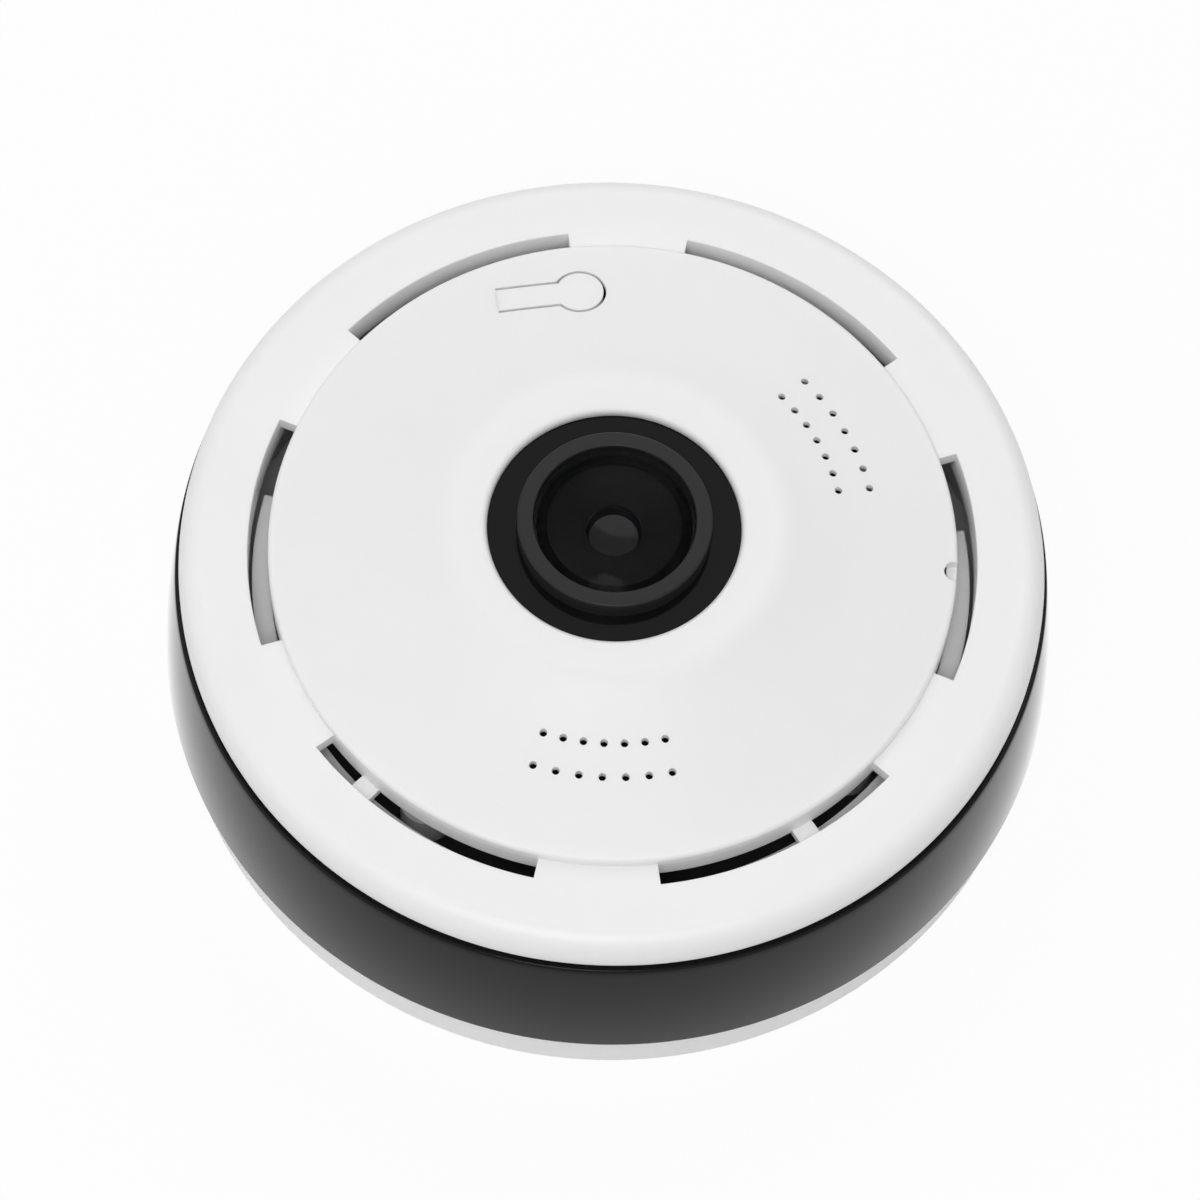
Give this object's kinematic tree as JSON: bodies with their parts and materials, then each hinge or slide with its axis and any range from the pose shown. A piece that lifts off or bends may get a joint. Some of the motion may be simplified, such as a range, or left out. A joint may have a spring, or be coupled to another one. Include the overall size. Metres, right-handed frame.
{
  "type": "fisheye ceiling camera",
  "caption": "Round indoor network camera with a fisheye lens at the middle of a white vented cover, a black band, a white base and a twist-lock mounting plate.",
  "frame": {"origin": "centre of the mounting plate's underside, where the camera lies on a table or meets the ceiling", "axes": "+Z along the lens axis, out of the cover; +Y towards the side with the power inlet; -Y is the side nearest to the viewer in the picture"},
  "size_m": [0.1118, 0.1118, 0.0427],
  "materials": {
    "white": "fine satin moulded plastic",
    "black_gloss": "glossy black moulded plastic",
    "window": "smoked black acrylic that lets infrared light through",
    "barrel": "dark grey anodised ring",
    "lens_glass": "coated optical glass",
    "black": "matt black plastic",
    "chip": "black moulded resin",
    "board": "circuit board with a black solder mask",
    "ribbon": "flat ribbon cable",
    "ivory": "ivory nylon",
    "lamp": "clear resin over an infrared lamp",
    "metal": "plain plated steel",
    "rubber": "soft black foam rubber",
    "aluminium": "extruded aluminium",
    "antenna": "copper foil laminated in black film"
  },
  "bodies": {
    "mount": {"mounting_plate": "white"},
    "camera": {"front_cover": "white", "ir_window": "window", "lens_barrel": "barrel", "front_lens": "lens_glass", "lens_baffle": "black", "inner_lens": "lens_glass", "aperture_ring": "black", "rear_lens": "lens_glass", "lens_holder": "black", "ir_filter": "lens_glass", "image_sensor": "chip", "sensor_board": "board", "sensor_cable": "ribbon", "cable_sockets": "ivory", "lamp_board": "board", "infrared_lamps": "lamp", "loudspeaker": "metal", "speaker_gasket": "rubber", "microphone": "metal", "microphone_boot": "rubber", "main_board": "board", "processor": "chip", "heat_sink": "aluminium", "memory_chips": "chip", "wifi_module": "metal", "wifi_antenna": "antenna", "switch_body": "chip", "power_inlet": "metal", "card_socket": "metal", "side_band": "black_gloss", "base_shell": "white", "slot_wall_ring": "white", "cover_screws": "metal", "board_screws": "metal", "holder_screws": "metal"},
    "tab": {"reset_tab": "white"},
    "plunger": {"switch_plunger": "black"},
    "card": {"memory_card": "chip"}
  },
  "joints": [
    {"name": "twist_lock", "type": "hinge", "parent": "mount", "child": "camera", "pos_m": [0, 0, 0.003], "axis": [0, 0, -1], "range_deg": [0, 18]},
    {"name": "tab_bend", "type": "hinge", "parent": "camera", "child": "tab", "pos_m": [-0.01597, 0.03251, 0.0346], "axis": [-0.165, 0.9863, 0], "range_deg": [0, 1.6], "stiffness_Nm_per_rad": 0.05},
    {"name": "switch_press", "type": "slide", "parent": "camera", "child": "plunger", "axis": [0, 0, -1], "range_m": [0, 0.0003]},
    {"name": "card_slide", "type": "slide", "parent": "camera", "child": "card", "axis": [-0.3256, 0.9455, 0], "range_m": [0, 0.0125]}
  ],
  "couplings": [
    {"joint": "switch_press", "follows": "tab_bend", "m_per_rad": 0.0104}
  ]
}
